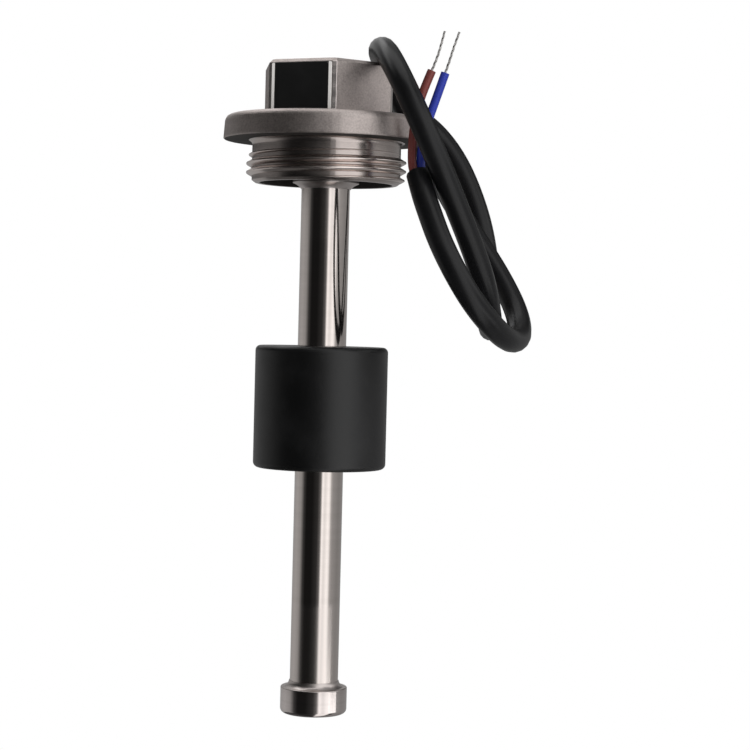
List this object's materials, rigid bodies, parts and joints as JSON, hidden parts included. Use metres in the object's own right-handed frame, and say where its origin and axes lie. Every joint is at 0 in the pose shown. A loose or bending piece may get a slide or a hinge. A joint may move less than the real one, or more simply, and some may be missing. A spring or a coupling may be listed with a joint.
{
  "type": "oil level sensor",
  "caption": "Tank-top oil level sensor: threaded hex head with a flange, a steel stem with a sliding magnetic float over reed switches, and a short two-core cable.",
  "frame": {"origin": "on the stem's axis, in the flange's seat face, where it meets the tank", "axes": "+Z along the stem, out of the tank; -Y towards the hexagon's front corner"},
  "size_m": [0.0823, 0.0736, 0.1775],
  "materials": {
    "cast_steel": "bead blasted casting",
    "polished_steel": "polished, with satin ends",
    "float_rubber": "matte foam rubber",
    "magnet": "sintered ferrite",
    "board": "solder mask",
    "reed_glass": "clear",
    "tinned_wire": "tinned",
    "resistor": "glazed",
    "brown_insulation": "semi-matte",
    "blue_insulation": "semi-matte",
    "black_rubber": "matte",
    "cable_black": "semi-matte",
    "label_black": "matte",
    "potting": "cast resin"
  },
  "bodies": {
    "sensor": {"head_casting": "cast_steel", "stem_tube": "polished_steel", "stem_collar": "polished_steel", "end_stop": "polished_steel", "sensor_board": "board", "reed_capsules": "reed_glass", "reed_leads": "tinned_wire", "ladder_resistors": "resistor", "solder_joints": "tinned_wire", "brown_core": "brown_insulation", "blue_core": "blue_insulation", "cable_grommet": "black_rubber", "cable_jacket": "cable_black", "brown_wire": "brown_insulation", "brown_strands": "tinned_wire", "blue_wire": "blue_insulation", "blue_strands": "tinned_wire", "blank_label": "label_black", "potting_fill": "potting"},
    "float": {"float_body": "float_rubber", "float_magnet": "magnet"}
  },
  "joints": [
    {"name": "float_slide", "type": "slide", "parent": "sensor", "child": "float", "axis": [0, 0, 1], "range_m": [-0.0568, 0.0415]}
  ]
}
